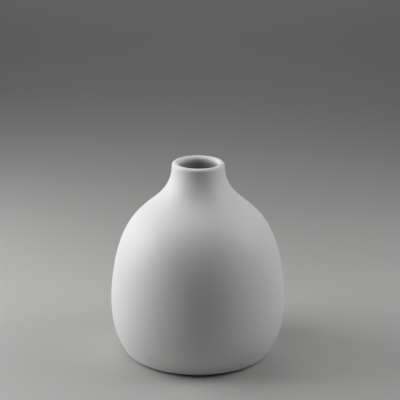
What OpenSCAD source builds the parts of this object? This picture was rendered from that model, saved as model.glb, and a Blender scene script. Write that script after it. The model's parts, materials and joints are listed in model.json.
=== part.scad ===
// A small ceramic bud vase: one slip-cast clay body with a foot ring, a satin matt glaze outside and
// over the lip, a gloss liner glaze in the hollow, and a glaze patch in the recess under the base.
// Origin: centre of the foot ring, on the table. +Z up, through the mouth. Millimetres.

/* [Body] */
// Overall height, from the table to the top of the lip
height = 129; // [110:1:160]
// Diameter of the belly, which is the widest place
belly_d = 114; // [95:1:140]
// Height of the belly's widest circle above the table
belly_z = 35.5; // [28:0.5:46]
// Wall thickness of the hollow body, glazes included
wall = 4; // [3:0.5:6]
// Thickness of the floor above the recess, glazes included
floor_t = 4.8; // [3.5:0.1:8]
// Radius of the corner inside, between the wall and the floor
corner_r = 9; // [5:0.5:14]

/* [Shoulder and neck] */
// How far the wall is pulled straight up from the belly
belly_pull = 27.5; // [15:0.5:40]
// How far inside the belly the shoulder's pull point lies
shoulder_in = 8.5; // [5:0.5:20]
// How far below the lip the shoulder's pull point lies
shoulder_drop = 26.5; // [20:0.5:40]
// How far outside the lip the neck's pull point lies
neck_out = 19.5; // [10:0.5:28]
// How far below the lip the neck's pull point lies
neck_drop = 33; // [26:0.5:45]
// How far the neck is pulled straight down from the lip
neck_pull = 22; // [12:0.5:30]

/* [Mouth] */
// Diameter of the throat, the straight bore that a stem or a stopper goes into
throat_d = 26; // [18:0.5:36]
// Length of the straight throat below the lip's rounding
throat_len = 8; // [5:0.5:12]
// Thickness of the fully rounded lip
lip_t = 4; // [3:0.25:6]

/* [Foot] */
// How far inside the belly the flat underside ends and its rounded edge begins
base_in = 11.6; // [7:0.2:18]
// Radius of the rounded edge between the underside and the side
edge_r = 4; // [2.5:0.5:6]
// Lean of the side from upright where it leaves the rounded edge
flare = 29; // [20:1:40]
// How far the lower side is pulled up from the rounded edge
foot_pull = 11.5; // [6:0.5:18]
// How far the lower side is pulled straight down from the belly
flank_pull = 14.5; // [8:0.5:20]
// How far inside the flat underside's edge the bare foot ring's outer side lies
ring_in = 2.9; // [2:0.1:8]
// Width of the foot ring
ring_w = 4.5; // [3:0.5:8]
// Height of the foot ring below the underside
ring_h = 1; // [0.7:0.1:2]
// Rounding of the foot ring's two edges
ring_round = 0.5; // [0.2:0.1:0.6]
// Height of the recess inside the foot ring, above the table
recess_h = 2.4; // [1.8:0.1:4]
// Radius of the fillet where the recess meets the ring
recess_fillet = 1.6; // [0.8:0.1:2]

/* [Glazes] */
// Thickness of the satin matt glaze outside
glaze_t = 0.4; // [0.2:0.05:0.8]
// Thickness of the gloss liner glaze inside
liner_t = 0.4; // [0.2:0.05:0.8]
// Width of the underside wiped bare outside the foot ring
wiped_w = 0.8; // [0.3:0.1:1.2]

/* [Hidden] */
$fn = 180;
neck_steps = 48;      // points along the side from the belly to the lip
flank_steps = 14;     // points along the lower side
round_steps = 10;     // points along the lip, the rounded edge and the corners
join_pull = 0.4;      // handle length of a joining curve, as a share of its span
throat_blend = 18;    // height over which the inner wall turns from the shoulder into the throat
corner_reach = 1.1;   // how far the floor's corner reaches in, as a share of its radius
same_point = 0.001;   // points closer than this are one point

belly_r = belly_d / 2;
throat_r = throat_d / 2;
lip_r = lip_t / 2;
mouth_r = throat_r + lip_t;
lip_z = height - lip_r;
throat_z = lip_z - throat_len;
base_r = belly_r - base_in;
edge_z = ring_h + edge_r;
ring_ro = base_r - ring_in;
ring_ri = ring_ro - ring_w;
floor_z = recess_h + floor_t;
recess_z = recess_h + glaze_t;
fillet_r = min(recess_fillet, recess_z - 2 * ring_round);
patch_r = ring_ri - fillet_r;
glaze_end_r = ring_ro + wiped_w;

// A station is [point, normal]. The normal points out of the wall outside, and into it inside.
function unit(v) = v / norm(v);
function side(d) = [d.y, -d.x];
function ease(p, t) = [for (i = [0:len(p) - 2]) p[i] * (1 - t) + p[i + 1] * t];
function bezier_station(p, t) =
    len(p) == 2 ? [p[0] * (1 - t) + p[1] * t, side(unit(p[1] - p[0]))]
                : bezier_station(ease(p, t), t);
function bezier(p, n) = [for (i = [0:n]) bezier_station(p, i / n)];
function arc(c, r, a0, a1, n) =
    [for (i = [0:n]) let (a = a0 + (a1 - a0) * i / n, d = [cos(a), sin(a)]) [c + r * d, d]];
function points(s) = [for (q = s) q[0]];
function moved(s, t) = [for (q = s) q[0] + t * q[1]];
function rest(s) = [for (i = [1:len(s) - 1]) s[i]];
function reversed(p) = [for (i = [len(p) - 1:-1:0]) p[i]];
function tidy(p) = [for (i = [0:len(p) - 1]) if (i == 0 || norm(p[i] - p[i - 1]) > same_point) p[i]];
function along(s) = [-s[1].y, s[1].x];
function joined(a, b, n) =
    let (span = join_pull * norm(b[0] - a[0]))
    bezier([a[0], a[0] + span * along(a), b[0] - span * along(b), b[0]], n);

// The outside, from the underside's edge up over the lip to the bottom of the throat.
edge_stations = arc([base_r, edge_z], edge_r, -90, -flare, round_steps);
edge_end = edge_stations[round_steps];
belly = [belly_r, belly_z];
lip_start = [mouth_r, lip_z];
flank_stations = bezier([
    edge_end[0],
    edge_end[0] + foot_pull * along(edge_end),
    belly - [0, flank_pull],
    belly], flank_steps);
neck_stations = bezier([
    belly,
    belly + [0, belly_pull],
    [belly_r - shoulder_in, height - shoulder_drop],
    [mouth_r + neck_out, height - neck_drop],
    lip_start - [0, neck_pull],
    lip_start], neck_steps);
lip_stations = arc([throat_r + lip_r, lip_z], lip_r, 0, 180, 2 * round_steps);
throat_end = [[throat_r, throat_z], [-1, 0]];
outside = concat(
    [[[glaze_end_r, ring_h], [0, -1]]],
    edge_stations, rest(flank_stations), rest(neck_stations), rest(lip_stations), [throat_end]);

// The inside, from the middle of the floor up the wall to the bottom of the throat.
wall_stations = [for (q = concat(flank_stations, rest(neck_stations)))
    let (p = q[0] - wall * q[1])
    if (p.y > floor_z + corner_r && p.y < throat_z - throat_blend && p.x > throat_r) [p, q[1]]];
corner_end = wall_stations[0];
floor_end = [[corner_end[0].x - corner_reach * corner_r, floor_z], [0, -1]];
inside = concat(
    [[[0, floor_z], [0, -1]]],
    joined(floor_end, corner_end, round_steps),
    rest(wall_stations),
    rest(joined(wall_stations[len(wall_stations) - 1], [[throat_r, throat_z], [1, 0]], round_steps)));

// The underside of the clay, from the middle of the recess out over the foot ring.
underside = concat(
    [[0, recess_z]],
    points(arc([patch_r, recess_z - fillet_r], fillet_r, 90, 0, round_steps)),
    points(arc([ring_ri + ring_round, ring_round], ring_round, 180, 270, round_steps)),
    points(arc([ring_ro - ring_round, ring_round], ring_round, 270, 360, round_steps)),
    [[ring_ro, ring_h + glaze_t]]);

// The slip-cast clay body: foot ring, floor, wall and lip, as bare clay.
module clay_body() {
    color("linen")
    rotate_extrude()
    polygon(tidy(concat(underside, moved(outside, -glaze_t), reversed(moved(inside, liner_t)))));
}

// The satin matt glaze: outside, over the lip and down the throat, wiped off at the foot ring.
module outer_glaze() {
    color("whitesmoke")
    rotate_extrude()
    polygon(concat(points(outside), reversed(moved(outside, -glaze_t))));
}

// The gloss liner glaze that keeps the hollow watertight, from the throat down over the floor.
module liner_glaze() {
    color("darkgray")
    rotate_extrude()
    polygon(concat(points(inside), reversed(moved(inside, liner_t))));
}

// The glaze patch in the recess, inside the foot ring.
module base_glaze() {
    color("whitesmoke")
    translate([0, 0, recess_h])
    cylinder(r = patch_r, h = glaze_t);
}

clay_body();
outer_glaze();
liner_glaze();
base_glaze();
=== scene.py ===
# A small ceramic bud vase: slip-cast white stoneware under a satin matt glaze, with a gloss liner
# glaze in the hollow and a bare foot ring. Metres, +Z up, standing on z = 0.
import json
import math

import bpy
from mathutils import Matrix, Vector


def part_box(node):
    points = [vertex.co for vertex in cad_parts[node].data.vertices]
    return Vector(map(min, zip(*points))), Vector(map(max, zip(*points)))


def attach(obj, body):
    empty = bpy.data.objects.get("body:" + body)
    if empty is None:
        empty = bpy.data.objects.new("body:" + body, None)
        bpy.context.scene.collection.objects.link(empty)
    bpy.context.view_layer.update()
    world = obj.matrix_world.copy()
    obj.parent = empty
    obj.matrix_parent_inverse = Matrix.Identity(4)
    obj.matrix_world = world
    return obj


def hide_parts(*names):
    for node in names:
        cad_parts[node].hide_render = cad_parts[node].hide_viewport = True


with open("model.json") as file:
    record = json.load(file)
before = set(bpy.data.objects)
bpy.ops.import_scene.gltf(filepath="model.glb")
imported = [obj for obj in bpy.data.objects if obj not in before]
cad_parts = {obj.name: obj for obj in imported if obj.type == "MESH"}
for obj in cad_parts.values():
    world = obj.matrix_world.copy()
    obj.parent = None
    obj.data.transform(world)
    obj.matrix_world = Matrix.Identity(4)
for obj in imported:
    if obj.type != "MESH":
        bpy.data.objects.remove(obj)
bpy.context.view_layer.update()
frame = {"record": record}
scene = bpy.context.scene
mm = 0.001
print("frame loaded")


def linear(hexColour):  # an sRGB hex colour as linear RGBA
    parts = [int(hexColour[i:i + 2], 16) / 255 for i in (0, 2, 4)]
    return [p / 12.92 if p <= 0.04045 else ((p + 0.055) / 1.055) ** 2.4 for p in parts] + [1.0]


def addNode(tree, kind, links=None, **settings):  # links: socket name or number -> socket or value
    node = tree.nodes.new(kind)
    for key, value in settings.items():
        setattr(node, key, value)
    for key, value in (links or {}).items():
        if isinstance(value, bpy.types.NodeSocket):
            tree.links.new(value, node.inputs[key])
        else:
            node.inputs[key].default_value = value
    return node


def bezier(points, steps):  # (point, normal) along a curve of any order; the normal is to its right
    stations = []
    for i in range(steps + 1):
        t = i / steps
        row = [Vector(p) for p in points]
        while len(row) > 2:
            row = [a.lerp(b, t) for a, b in zip(row, row[1:])]
        run = (row[1] - row[0]).normalized()
        stations.append((row[0].lerp(row[1], t), Vector((run.y, -run.x))))
    return stations


def arc(centre, radius, start, end, steps):  # the same along an arc, with its angles in degrees
    stations = []
    for i in range(steps + 1):
        angle = math.radians(start + (end - start) * i / steps)
        out = Vector((math.cos(angle), math.sin(angle)))
        stations.append((Vector(centre) + radius * out, out))
    return stations


def moved(stations, distance):
    return [point + distance * normal for point, normal in stations]


def points(stations):
    return [point for point, normal in stations]


def along(station):  # the direction of travel at a station
    return Vector((-station[1].y, station[1].x))


def joined(a, b, steps):  # a soft curve from one station to another
    span = pot["joinPull"] * (b[0] - a[0]).length
    return bezier([a[0], a[0] + span * along(a), b[0] - span * along(b), b[0]], steps)


glazeLow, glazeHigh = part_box("outer_glaze")
linerLow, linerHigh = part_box("liner_glaze")
patchLow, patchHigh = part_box("base_glaze")
throatMount = [m for m in frame["record"]["mounts"] if m["name"] == "throat"][0]

# the pot's sizes: what the frame tells, then the same shape values as its drawing
pot = {
    "height": glazeHigh.z,
    "bellyR": glazeHigh.x,
    "throatR": throatMount["dims"]["r_mm"] * mm,
    "throatFloor": linerHigh.z,   # where the straight throat ends
    "undersideZ": glazeLow.z,     # the glazed underside, just off the table
    "patchR": patchHigh.x,
    "patchZ": patchLow.z,
    "glaze": patchHigh.z - patchLow.z,
    "floorZ": linerLow.z + (patchHigh.z - patchLow.z),
    "lip": 4 * mm,
    "wall": 4 * mm,
    "corner": 9 * mm,
    "bellyZ": 35.5 * mm,
    "bellyPull": 27.5 * mm,
    "shoulderIn": 8.5 * mm,
    "shoulderDrop": 26.5 * mm,
    "neckOut": 19.5 * mm,
    "neckDrop": 33 * mm,
    "neckPull": 22 * mm,
    "baseIn": 11.6 * mm,
    "edge": 4 * mm,
    "flare": 29,                  # degrees from upright
    "footPull": 11.5 * mm,
    "flankPull": 14.5 * mm,
    "ringIn": 2.9 * mm,
    "ringWide": 4.5 * mm,
    "ringRound": 0.5 * mm,
    "wiped": 0.8 * mm,            # bare strip outside the foot ring
    "throatBlend": 18 * mm,
    "cornerReach": 1.1,           # how far the floor's corner reaches in, as a share of its radius
    "joinPull": 0.4,              # handle of a joining curve, as a share of its span
}
fine = {"edge": 16, "flank": 36, "neck": 110, "lip": 28, "corner": 20, "throat": 24, "ring": 8,
        "fillet": 12, "bead": 5, "hidden": 3}  # steps along each stretch of the outline
lipR = pot["lip"] / 2
mouthR = pot["throatR"] + pot["lip"]
lipZ = pot["height"] - lipR
baseR = pot["bellyR"] - pot["baseIn"]
ringOutR = baseR - pot["ringIn"]
ringInR = ringOutR - pot["ringWide"]
glazeEndR = ringOutR + pot["wiped"]
glaze = pot["glaze"]
ringRound = pot["ringRound"]
recessZ = pot["patchZ"] + glaze
filletR = ringInR - pot["patchR"]

edgeLine = arc((baseR, pot["undersideZ"] + pot["edge"]), pot["edge"], -90, -pot["flare"], fine["edge"])
belly = Vector((pot["bellyR"], pot["bellyZ"]))
lipStart = Vector((mouthR, lipZ))
flankLine = bezier([
    edgeLine[-1][0],
    edgeLine[-1][0] + pot["footPull"] * along(edgeLine[-1]),
    belly - Vector((0, pot["flankPull"])),
    belly], fine["flank"])
neckLine = bezier([
    belly,
    belly + Vector((0, pot["bellyPull"])),
    Vector((pot["bellyR"] - pot["shoulderIn"], pot["height"] - pot["shoulderDrop"])),
    Vector((mouthR + pot["neckOut"], pot["height"] - pot["neckDrop"])),
    lipStart - Vector((0, pot["neckPull"])),
    lipStart], fine["neck"])
lipLine = arc((pot["throatR"] + lipR, lipZ), lipR, 0, 180, fine["lip"])
outside = edgeLine + flankLine[1:] + neckLine[1:] + lipLine[1:]

wallLine = []
for point, normal in flankLine + neckLine[1:]:
    inner = point - pot["wall"] * normal
    if pot["floorZ"] + pot["corner"] < inner.y < pot["throatFloor"] - pot["throatBlend"]:
        wallLine.append((inner, normal))
cornerStart = wallLine[0][0].x - pot["cornerReach"] * pot["corner"]
floorEnd = (Vector((cornerStart, pot["floorZ"])), Vector((0, -1)))
throatEnd = (Vector((pot["throatR"], pot["throatFloor"])), Vector((1, 0)))
inside = (joined(floorEnd, wallLine[0], fine["corner"]) + wallLine[1:]
          + joined(wallLine[-1], throatEnd, fine["throat"])[1:])

# faces between clay and glaze are never seen, so fewer points are enough for them
hiddenOutside = outside[::fine["hidden"]] + outside[-1:]
hiddenInside = inside[:-1:fine["hidden"]] + inside[-2:-1]
print("outline worked out")

# the wheel turns a half outline round the pot's axis
wheel = {
    "turns": 300,                 # faces round the pot
    "uneven": 0.14 * mm,          # how far slip casting and drying leave it out of true
    "unevenSize": 46 * mm,
    "waver": 0.35 * mm,           # how far a sponged glaze edge wanders
    "waverSize": 9 * mm,
    "steadyR": 20 * mm,           # inside this radius the unevenness dies out
    "crisp": 40,                  # degrees; sharper folds than this stay crisp
    "samePoint": 0.002 * mm,
    "seed": 4.0,
    "waverSeed": 7.0,             # keeps the edge's wander apart from the casting's unevenness
}


def makeWheel():
    tree = bpy.data.node_groups.new("potWheel", "GeometryNodeTree")
    face = tree.interface
    face.new_socket("Geometry", in_out="OUTPUT", socket_type="NodeSocketGeometry")
    face.new_socket("Outline", in_out="INPUT", socket_type="NodeSocketGeometry")
    for name, kind in (("Turns", "Int"), ("Uneven", "Float"), ("Uneven Size", "Float"),
                       ("Waver", "Float"), ("Waver Size", "Float"), ("Seed", "Float"),
                       ("Finish", "Material")):
        face.new_socket(name, in_out="INPUT", socket_type="NodeSocket" + kind)
    given = tree.nodes.new("NodeGroupInput").outputs

    # a sheet with one column of points for each place round the pot
    count = addNode(tree, "GeometryNodeAttributeDomainSize", {"Geometry": given["Outline"]})
    columns = addNode(tree, "ShaderNodeMath", {0: given["Turns"], 1: 1.0}, operation="ADD")
    sheet = addNode(tree, "GeometryNodeMeshGrid",
                    {"Vertices X": columns.outputs[0], "Vertices Y": count.outputs["Point Count"]})
    index = addNode(tree, "GeometryNodeInputIndex")
    onLine = addNode(tree, "FunctionNodeIntegerMath",
                     {0: index.outputs[0], 1: count.outputs["Point Count"]}, operation="MODULO")
    turn = addNode(tree, "FunctionNodeIntegerMath",
                   {0: index.outputs[0], 1: count.outputs["Point Count"]}, operation="DIVIDE_FLOOR")

    # each point of the outline, turned to its place
    place = addNode(tree, "GeometryNodeInputPosition")
    onOutline = addNode(tree, "GeometryNodeSampleIndex",
                        {"Geometry": given["Outline"], "Value": place.outputs[0],
                         "Index": onLine.outputs[0]}, data_type="FLOAT_VECTOR")
    share = addNode(tree, "ShaderNodeMath", {0: turn.outputs[0], 1: given["Turns"]}, operation="DIVIDE")
    angle = addNode(tree, "ShaderNodeMath", {0: share.outputs[0], 1: 2 * math.pi}, operation="MULTIPLY")
    turned = addNode(tree, "ShaderNodeVectorRotate",
                     {"Vector": onOutline.outputs[0], "Angle": angle.outputs[0]},
                     rotation_type="Z_AXIS")
    flat = addNode(tree, "ShaderNodeVectorMath",
                   {0: turned.outputs[0], 1: (1, 1, 0)}, operation="MULTIPLY")
    outward = addNode(tree, "ShaderNodeVectorMath", {0: flat.outputs[0]}, operation="NORMALIZE")
    reach = addNode(tree, "ShaderNodeVectorMath", {0: flat.outputs[0]}, operation="LENGTH")

    def drift(amount, size, seedShift):  # a smooth random distance, plus or minus the amount
        seed = addNode(tree, "ShaderNodeMath", {0: given["Seed"], 1: seedShift}, operation="ADD")
        scale = addNode(tree, "ShaderNodeMath", {0: 1.0, 1: size}, operation="DIVIDE")
        noise = addNode(tree, "ShaderNodeTexNoise",
                        {"Vector": turned.outputs[0], "W": seed.outputs[0],
                         "Scale": scale.outputs[0], "Detail": 1.0}, noise_dimensions="4D")
        both = addNode(tree, "ShaderNodeMapRange",
                       {"Value": noise.outputs[0], "From Min": 0.25, "From Max": 0.75,
                        "To Min": -1.0, "To Max": 1.0}, clamp=False)
        return addNode(tree, "ShaderNodeMath", {0: both.outputs[0], 1: amount},
                       operation="MULTIPLY").outputs[0]

    # the casting's slow unevenness, which dies out at the axis
    fade = addNode(tree, "ShaderNodeMapRange",
                   {"Value": reach.outputs["Value"], "From Max": wheel["steadyR"]})
    cast = addNode(tree, "ShaderNodeMath",
                   {0: drift(given["Uneven"], given["Uneven Size"], 0.0), 1: fade.outputs[0]},
                   operation="MULTIPLY")

    # the wander of a sponged glaze edge, only where the outline is marked as loose
    mark = addNode(tree, "GeometryNodeInputNamedAttribute", {"Name": "loose"}, data_type="FLOAT")
    loose = addNode(tree, "GeometryNodeSampleIndex",
                    {"Geometry": given["Outline"], "Value": mark.outputs["Attribute"],
                     "Index": onLine.outputs[0]}, data_type="FLOAT")
    sponged = addNode(tree, "ShaderNodeMath",
                      {0: drift(given["Waver"], given["Waver Size"], wheel["waverSeed"]),
                       1: loose.outputs[0]},
                      operation="MULTIPLY")
    shift = addNode(tree, "ShaderNodeMath", {0: cast.outputs[0], 1: sponged.outputs[0]}, operation="ADD")
    offset = addNode(tree, "ShaderNodeVectorMath",
                     {0: outward.outputs[0], "Scale": shift.outputs[0]}, operation="SCALE")
    put = addNode(tree, "GeometryNodeSetPosition",
                  {"Geometry": sheet.outputs["Mesh"], "Position": turned.outputs[0],
                   "Offset": offset.outputs[0]})

    # closed along the seam and at the axis, and smooth except at real corners
    closed = addNode(tree, "GeometryNodeMergeByDistance",
                     {"Geometry": put.outputs[0], "Distance": wheel["samePoint"]})
    smooth = addNode(tree, "GeometryNodeSetShadeSmooth", {"Geometry": closed.outputs[0]})
    fold = addNode(tree, "GeometryNodeInputMeshEdgeAngle")
    corner = addNode(tree, "FunctionNodeCompare",
                     {0: fold.outputs[0], 1: math.radians(wheel["crisp"])}, data_type="FLOAT",
                     operation="GREATER_THAN")
    crisp = addNode(tree, "GeometryNodeSetShadeSmooth",
                    {"Geometry": smooth.outputs[0], "Selection": corner.outputs[0],
                     "Shade Smooth": False}, domain="EDGE")
    real = addNode(tree, "GeometryNodeRealizeInstances", {"Geometry": crisp.outputs[0]})
    finish = addNode(tree, "GeometryNodeSetMaterial",
                     {"Geometry": real.outputs[0], "Material": given["Finish"]})
    addNode(tree, "NodeGroupOutput", {0: finish.outputs[0]})
    return tree


wheelTree = makeWheel()


def throw(name, outline, material, waver=0.0):
    # outline: (radius, height, loose) points, anticlockwise with the clay on the left
    line = bpy.data.meshes.new(name)
    line.from_pydata([(r, 0, z) for r, z, loose in outline],
                     [(i, i + 1) for i in range(len(outline) - 1)], [])
    looseness = line.attributes.new("loose", "FLOAT", "POINT")
    looseness.data.foreach_set("value", [loose for r, z, loose in outline])
    piece = bpy.data.objects.new(name, line)
    scene.collection.objects.link(piece)
    turning = piece.modifiers.new("wheel", "NODES")
    turning.node_group = wheelTree
    values = {"Turns": wheel["turns"], "Uneven": wheel["uneven"], "Uneven Size": wheel["unevenSize"],
              "Waver": waver, "Waver Size": wheel["waverSize"], "Seed": wheel["seed"],
              "Finish": material}
    for item in wheelTree.interface.items_tree:
        if item.in_out == "INPUT" and item.name in values:
            turning[item.identifier] = values[item.name]
    shown = piece.evaluated_get(bpy.context.evaluated_depsgraph_get())
    made = bpy.data.meshes.new_from_object(shown)
    made.materials.clear()        # the sheet brings an empty slot with it
    made.materials.append(material)
    made.polygons.foreach_set("material_index", [0] * len(made.polygons))
    piece.modifiers.clear()
    piece.data = made
    print(name, len(made.vertices), "points")
    return piece


def firm(line):  # outline points that stay where they are
    return [(p.x, p.y, 0.0) for p in line]


# the glaze outside, over the lip and down the throat
outerGlaze = {
    "white": "ECECEB",
    "cloud": "E7E7E7",            # where the spray went on a little heavier
    "cloudSize": 34 * mm,
    "thin": "E3DED5",             # where the clay warms it through
    "lipThin": 0.12,
    "footThin": 0.5,
    "footThinTall": 1.2 * mm,
    "throat": "989896",           # painted shade: grey down the throat, standing in for the shade inside the mouth
    "throatShadeFrom": 1.0 * mm,       # below the lip's crest
    "throatShadeTo": 5.0 * mm,
    "shine": (0.52, 0.58),        # roughness, from the glassiest to the driest patches
    "ior": 1.5,
    "softness": 0.25,             # diffuse roughness of the matt crystals
    "peelSize": 2.4 * mm,         # orange peel from spraying
    "peelDepth": 0.006 * mm,
    "grainSize": 0.7 * mm,        # matt crystals are finer; drawn coarse enough to show close up
    "grainDepth": 0.0012 * mm,
    "rub": "8F9090",              # faint grey rubs low on the left front
    "rubGrain": 1.2 * mm,
    "rubCore": 0.2,               # share of a rub's radius that keeps its full strength
    "rubs": [  # degrees round, height and radius in mm, strength
        (-124, 11.2, 2.6, 0.2),
        (-116.8, 9, 2.4, 0.15),
        (-129.5, 14.5, 3.0, 0.06),
    ],
    "bead": 0.4 * mm,             # rounding of the glaze's edge under the foot
}


def outlineRadius(height):  # the pot's outer radius at a height
    return min(points(flankLine + neckLine), key=lambda p: abs(p.y - height)).x


def satinMattGlaze(look):
    # satin matt glaze, sprayed and fired on stoneware: tiny crystals spread its shine wide and soft
    material = bpy.data.materials.new("satinMattGlaze")
    material.use_nodes = True
    tree = material.node_tree
    shader = tree.nodes["Principled BSDF"]
    shader.inputs["IOR"].default_value = look["ior"]
    shader.inputs["Diffuse Roughness"].default_value = look["softness"]
    place = addNode(tree, "ShaderNodeTexCoord").outputs["Object"]
    height = addNode(tree, "ShaderNodeSeparateXYZ", {0: place}).outputs["Z"]

    clouds = addNode(tree, "ShaderNodeTexNoise",
                     {"Vector": place, "Scale": 1 / look["cloudSize"], "Detail": 2.0})
    colour = addNode(tree, "ShaderNodeMix",
                     {0: clouds.outputs["Fac"], 6: linear(look["white"]), 7: linear(look["cloud"])},
                     data_type="RGBA").outputs[2]

    # thin on the crest of the lip and at the wiped foot
    crest = addNode(tree, "ShaderNodeMapRange",
                    {"Value": height, "From Min": pot["height"] - lipR, "From Max": pot["height"],
                     "To Max": look["lipThin"]}, interpolation_type="SMOOTHSTEP")
    heel = addNode(tree, "ShaderNodeMapRange",
                   {"Value": height, "From Min": pot["undersideZ"] + look["footThinTall"],
                    "From Max": pot["undersideZ"], "To Max": look["footThin"]},
                   interpolation_type="SMOOTHSTEP")
    thin = addNode(tree, "ShaderNodeMath", {0: crest.outputs[0], 1: heel.outputs[0]},
                   operation="MAXIMUM")
    colour = addNode(tree, "ShaderNodeMix", {0: thin.outputs[0], 6: colour, 7: linear(look["thin"])},
                     data_type="RGBA").outputs[2]

    # painted shade: grey down the throat, and nowhere else near the axis
    flat = addNode(tree, "ShaderNodeVectorMath", {0: place, 1: (1, 1, 0)}, operation="MULTIPLY")
    reach = addNode(tree, "ShaderNodeVectorMath", {0: flat.outputs[0]}, operation="LENGTH")
    within = addNode(tree, "ShaderNodeMath",
                     {0: reach.outputs["Value"], 1: pot["throatR"] + lipR}, operation="LESS_THAN")
    above = addNode(tree, "ShaderNodeMath",
                    {0: height, 1: pot["throatFloor"] - glaze}, operation="GREATER_THAN")
    throatShadeZone = addNode(tree, "ShaderNodeMath", {0: within.outputs[0], 1: above.outputs[0]},
                       operation="MULTIPLY")
    down = addNode(tree, "ShaderNodeMapRange",
                   {"Value": height, "From Min": pot["height"] - look["throatShadeFrom"],
                    "From Max": pot["height"] - look["throatShadeTo"]}, interpolation_type="SMOOTHSTEP")
    throatShade = addNode(tree, "ShaderNodeMath", {0: throatShadeZone.outputs[0], 1: down.outputs[0]},
                   operation="MULTIPLY")
    colour = addNode(tree, "ShaderNodeMix",
                     {0: throatShade.outputs[0], 6: colour, 7: linear(look["throat"])},
                     data_type="RGBA").outputs[2]

    # rubs, each a soft broken spot round a point of the surface
    broken = addNode(tree, "ShaderNodeTexNoise",
                     {"Vector": place, "Scale": 1 / look["rubGrain"], "Detail": 3.0})
    patchy = addNode(tree, "ShaderNodeMapRange",
                     {"Value": broken.outputs["Fac"], "From Min": 0.35, "From Max": 0.6,
                      "To Min": 0.5, "To Max": 1.0})
    for angle, z, size, strength in look["rubs"]:
        radius = outlineRadius(z * mm)
        turn = math.radians(angle)
        spot = (radius * math.cos(turn), radius * math.sin(turn), z * mm)
        away = addNode(tree, "ShaderNodeVectorMath", {0: place, 1: spot}, operation="DISTANCE")
        soft = addNode(tree, "ShaderNodeMapRange",
                       {"Value": away.outputs["Value"], "From Min": look["rubCore"] * size * mm,
                        "From Max": size * mm, "To Min": strength, "To Max": 0.0},
                       interpolation_type="SMOOTHSTEP")
        rub = addNode(tree, "ShaderNodeMath", {0: soft.outputs[0], 1: patchy.outputs[0]},
                      operation="MULTIPLY")
        colour = addNode(tree, "ShaderNodeMix", {0: rub.outputs[0], 6: colour, 7: linear(look["rub"])},
                         data_type="RGBA").outputs[2]
    tree.links.new(colour, shader.inputs["Base Color"])

    # shine that varies a little, over a faint peel and the crystals
    glassy, dry = look["shine"]
    shine = addNode(tree, "ShaderNodeMapRange",
                    {"Value": clouds.outputs["Fac"], "From Min": 0.3, "From Max": 0.7,
                     "To Min": glassy, "To Max": dry})
    tree.links.new(shine.outputs[0], shader.inputs["Roughness"])
    peel = addNode(tree, "ShaderNodeTexNoise",
                   {"Vector": place, "Scale": 1 / look["peelSize"], "Detail": 1.0})
    grain = addNode(tree, "ShaderNodeTexNoise",
                    {"Vector": place, "Scale": 1 / look["grainSize"], "Detail": 2.0})
    peelBump = addNode(tree, "ShaderNodeBump",
                       {"Height": peel.outputs["Fac"], "Distance": look["peelDepth"]})
    grainBump = addNode(tree, "ShaderNodeBump",
                        {"Height": grain.outputs["Fac"], "Distance": look["grainDepth"],
                         "Normal": peelBump.outputs[0]})
    tree.links.new(grainBump.outputs[0], shader.inputs["Normal"])
    return material


mattGlaze = satinMattGlaze(outerGlaze)

# over the outside, the lip and the throat; its edges are rounded where it was wiped
bead = outerGlaze["bead"]
footBead = arc((glazeEndR + bead, pot["undersideZ"] + glaze), bead, 180, 270, fine["bead"])
throatBead = arc((pot["throatR"] + glaze / 2, pot["throatFloor"] + glaze / 2), glaze / 2,
                 180, 270, fine["bead"])
glazeBack = moved(hiddenOutside, -glaze)[::-1]
outerOutline = (
    [(p.x, p.y, 1.0) for p in points(footBead)]
    + firm(points(outside))
    + firm(points(throatBead))
    + firm([Vector((pot["throatR"] + glaze, pot["throatFloor"]))])
    + firm(glazeBack)
    + [(glazeEndR, pot["undersideZ"] + glaze, 1.0)])
glazeOutside = throw("glazeOutside", outerOutline, mattGlaze, wheel["waver"])


# the glaze in the hollow; its grey is painted shade that darkens the inside
linerGlaze = {
    "shadeGrey": "A3A3A1",
    "cornerShade": "8E9290",             # painted shade, darker in the corner at the floor of the hollow
    "cornerShadeTop": 14 * mm,
    "shine": (0.10, 0.17),
    "ior": 1.52,
    "runStretch": 0.3,            # the ripples are drawn out up and down
    "rippleSize": 14 * mm,
    "rippleDepth": 0.05 * mm,
}


def glossLinerGlaze(look):
    # gloss liner glaze, poured in and drained out: glassy, with soft runs; its grey is painted shade,
    # darker still in the corner
    material = bpy.data.materials.new("glossLinerGlaze")
    material.use_nodes = True
    tree = material.node_tree
    shader = tree.nodes["Principled BSDF"]
    shader.inputs["IOR"].default_value = look["ior"]
    place = addNode(tree, "ShaderNodeTexCoord").outputs["Object"]
    height = addNode(tree, "ShaderNodeSeparateXYZ", {0: place}).outputs["Z"]
    runs = addNode(tree, "ShaderNodeMapping", {"Vector": place, "Scale": (1, 1, look["runStretch"])})
    ripple = addNode(tree, "ShaderNodeTexNoise",
                     {"Vector": runs.outputs[0], "Scale": 1 / look["rippleSize"], "Detail": 2.0})
    # painted shade: darker towards the floor of the hollow
    cornerShadeMix = addNode(tree, "ShaderNodeMapRange",
                     {"Value": height, "From Min": pot["floorZ"] + look["cornerShadeTop"],
                      "From Max": pot["floorZ"]}, interpolation_type="SMOOTHSTEP")
    colour = addNode(tree, "ShaderNodeMix",
                     {0: cornerShadeMix.outputs[0], 6: linear(look["shadeGrey"]), 7: linear(look["cornerShade"])},
                     data_type="RGBA")
    tree.links.new(colour.outputs[2], shader.inputs["Base Color"])
    glassy, dry = look["shine"]
    shine = addNode(tree, "ShaderNodeMapRange",
                    {"Value": ripple.outputs["Fac"], "To Min": glassy, "To Max": dry})
    tree.links.new(shine.outputs[0], shader.inputs["Roughness"])
    bump = addNode(tree, "ShaderNodeBump",
                   {"Height": ripple.outputs["Fac"], "Distance": look["rippleDepth"]})
    tree.links.new(bump.outputs[0], shader.inputs["Normal"])
    return material


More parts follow.
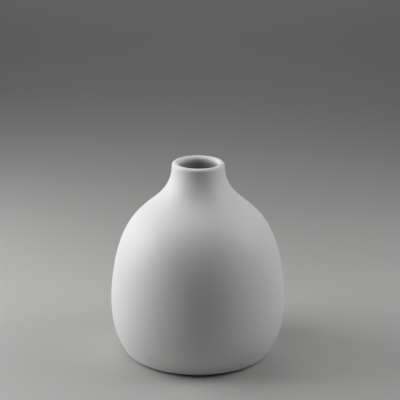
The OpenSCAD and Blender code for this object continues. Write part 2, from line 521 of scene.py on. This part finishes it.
# from the middle of the floor up to the throat
linerBead = arc((pot["throatR"] + glaze / 2, pot["throatFloor"] - glaze / 2), glaze / 2,
                90, 180, fine["bead"])
linerOutline = (
    firm([Vector((0, pot["floorZ"] - glaze))])
    + firm(moved(hiddenInside, glaze))
    + firm([Vector((pot["throatR"] + glaze, pot["throatFloor"]))])
    + firm(points(linerBead))
    + firm(points(inside[:-1])[::-1])
    + firm([Vector((0, pot["floorZ"]))]))
glazeInside = throw("glazeInside", linerOutline, glossLinerGlaze(linerGlaze))


# a thin coat in the recess under the base, with a rounded and slightly wandering rim
baseGlaze = {"rim": 0.4 * mm, "waver": 0.3 * mm, "rimZone": 6 * mm, "rings": 10}
rimLine = arc((pot["patchR"] - baseGlaze["rim"] - baseGlaze["waver"], pot["patchZ"] + glaze),
              baseGlaze["rim"], -90, 0, fine["bead"])
flatR = pot["patchR"] - baseGlaze["rimZone"]
rings = baseGlaze["rings"]
baseOutline = (
    [(flatR * i / rings, pot["patchZ"], 0.0) for i in range(rings + 1)]
    + [(p.x, p.y, 1.0) for p in points(rimLine)]
    + [(flatR, pot["patchZ"] + glaze, 0.0), (0, pot["patchZ"] + glaze, 0.0)])
glazeUnder = throw("glazeUnder", baseOutline, mattGlaze, baseGlaze["waver"])


# the clay: foot ring, floor, wall and lip in one casting
clay = {
    "body": "D9D1C2",
    "shade": "CBC1B0",
    "cloudSize": 6 * mm,
    "sand": "A8977F",             # sparse dark sand in the clay
    "sandSize": 0.35 * mm,
    "sandDepth": 0.03 * mm,
    "sandBand": (0.62, 0.72),     # noise values between which a grain fades in
    "sandShow": 0.7,
    "worn": "B9B2A6",             # grey from shelves and tables, on the ring's flat only
    "wornTall": 0.12 * mm,
    "wornShow": 0.6,
    "rough": 0.85,
}


def bareStoneware(look):
    # white stoneware fired bare and sponged: dry, faintly sandy, no shine
    material = bpy.data.materials.new("bareStoneware")
    material.use_nodes = True
    tree = material.node_tree
    shader = tree.nodes["Principled BSDF"]
    shader.inputs["Roughness"].default_value = look["rough"]
    place = addNode(tree, "ShaderNodeTexCoord").outputs["Object"]
    height = addNode(tree, "ShaderNodeSeparateXYZ", {0: place}).outputs["Z"]
    cloud = addNode(tree, "ShaderNodeTexNoise",
                    {"Vector": place, "Scale": 1 / look["cloudSize"], "Detail": 4.0})
    colour = addNode(tree, "ShaderNodeMix",
                     {0: cloud.outputs["Fac"], 6: linear(look["body"]), 7: linear(look["shade"])},
                     data_type="RGBA").outputs[2]
    sand = addNode(tree, "ShaderNodeTexNoise",
                   {"Vector": place, "Scale": 1 / look["sandSize"], "Detail": 2.0})
    faint, full = look["sandBand"]
    grains = addNode(tree, "ShaderNodeMapRange",
                     {"Value": sand.outputs["Fac"], "From Min": faint, "From Max": full,
                      "To Max": look["sandShow"]})
    colour = addNode(tree, "ShaderNodeMix", {0: grains.outputs[0], 6: colour, 7: linear(look["sand"])},
                     data_type="RGBA").outputs[2]
    touching = addNode(tree, "ShaderNodeMapRange",
                       {"Value": height, "From Min": look["wornTall"], "From Max": 0.0,
                        "To Max": look["wornShow"]})
    scuffed = addNode(tree, "ShaderNodeMath",
                      {0: touching.outputs[0], 1: cloud.outputs["Fac"]}, operation="MULTIPLY")
    colour = addNode(tree, "ShaderNodeMix", {0: scuffed.outputs[0], 6: colour, 7: linear(look["worn"])},
                     data_type="RGBA").outputs[2]
    tree.links.new(colour, shader.inputs["Base Color"])
    bump = addNode(tree, "ShaderNodeBump",
                   {"Height": sand.outputs["Fac"], "Distance": look["sandDepth"]})
    tree.links.new(bump.outputs[0], shader.inputs["Normal"])
    return material


clayOutline = firm(
    [Vector((0, recessZ))]
    + points(arc((pot["patchR"], recessZ - filletR), filletR, 90, 0, fine["fillet"]))
    + points(arc((ringInR + ringRound, ringRound), ringRound, 180, 270, fine["ring"]))
    + points(arc((ringOutR - ringRound, ringRound), ringRound, 270, 360, fine["ring"]))
    + [Vector((ringOutR, pot["undersideZ"] + glaze)), Vector((glazeEndR, pot["undersideZ"] + glaze))]
    + moved(hiddenOutside, -glaze)
    + [Vector((pot["throatR"] + glaze, pot["throatFloor"]))]
    + moved(hiddenInside, glaze)[::-1]
    + [Vector((0, pot["floorZ"] - glaze))])
clayBody = throw("clayBody", clayOutline, bareStoneware(clay))
print("pieces turned")

# the table, the lights and the camera
stage = {"floor": "B2B2B1", "floorWide": 8.0, "floorRough": 0.7}


def paleBoard(look):
    # plain painted board under the pot
    material = bpy.data.materials.new("paleBoard")
    material.use_nodes = True
    shader = material.node_tree.nodes["Principled BSDF"]
    shader.inputs["Base Color"].default_value = linear(look["floor"])
    shader.inputs["Roughness"].default_value = look["floorRough"]
    return material


half = stage["floorWide"] / 2
floorMesh = bpy.data.meshes.new("floor")
floorMesh.from_pydata([(-half, -half, 0), (half, -half, 0), (half, half, 0), (-half, half, 0)],
                      [], [(0, 1, 2, 3)])
floorMesh.materials.append(paleBoard(stage))
floor = bpy.data.objects.new("floor", floorMesh)
scene.collection.objects.link(floor)

# from: degrees round from the front towards the right, and degrees up; aim: the point it faces
middle = Vector((0, 0, pot["height"] / 2))
behind = Vector((0, 1.8, 0))
leftward = Vector((-2.5, 0, 0))
lights = [
    {"name": "window", "from": (262, 24), "away": 0.5, "size": (0.42, 0.3), "power": 2.2, "aim": middle},
    {"name": "fill", "from": (90, 35), "away": 0.5, "size": (0.3, 0.3), "power": 1.18, "aim": middle},
    {"name": "top", "from": (270, 72), "away": 0.3, "size": (0.2, 0.2), "power": 0.23, "aim": middle},
    {"name": "back", "from": (180, 60), "away": 1.4, "size": (1.6, 1.6), "power": 8, "aim": behind},
    {"name": "side", "from": (270, 60), "away": 2.2, "size": (2, 2), "power": 12, "aim": leftward},
]
for light in lights:
    lamp = bpy.data.lights.new(light["name"], "AREA")
    lamp.shape = "RECTANGLE"
    lamp.size, lamp.size_y = light["size"]
    lamp.energy = light["power"]
    softbox = bpy.data.objects.new(light["name"], lamp)
    scene.collection.objects.link(softbox)
    turn, up = (math.radians(d) for d in light["from"])
    out = Vector((math.sin(turn) * math.cos(up), -math.cos(turn) * math.cos(up), math.sin(up)))
    softbox.location = light["aim"] + light["away"] * out
    softbox.rotation_euler = out.to_track_quat("Z", "Y").to_euler()
    softbox.visible_camera = False

room = {"colour": "FFFFFF", "strength": 0.02}
world = bpy.data.worlds.new("room")
world.use_nodes = True
background = world.node_tree.nodes["Background"]
background.inputs["Color"].default_value = linear(room["colour"])
background.inputs["Strength"].default_value = room["strength"]
scene.world = world
scene.view_settings.view_transform = "Standard"

eye = {
    "back": 0.9096,
    "up": 0.4003,
    "aside": 1.17 * mm,
    "down": 18.074,               # degrees
    "tilt": 0.239,
    "lens": 133.14,
    "near": 0.05,
}
camera = bpy.data.objects.new("camera", bpy.data.cameras.new("camera"))
camera.data.lens = eye["lens"]
camera.data.clip_start = eye["near"]
camera.matrix_world = (
    Matrix.Translation((eye["aside"], -eye["back"], eye["up"]))
    @ Matrix.Rotation(math.radians(90 - eye["down"]), 4, "X")
    @ Matrix.Rotation(math.radians(eye["tilt"]), 4, "Z"))
scene.collection.objects.link(camera)
scene.camera = camera
print("stage set")

# each piece stands for the plain solid of its own coat, or of the clay
for piece, node in ((glazeOutside, "outer_glaze"), (glazeInside, "liner_glaze"),
                    (glazeUnder, "base_glaze"), (clayBody, "clay_body")):
    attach(piece, "root")
    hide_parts(node)
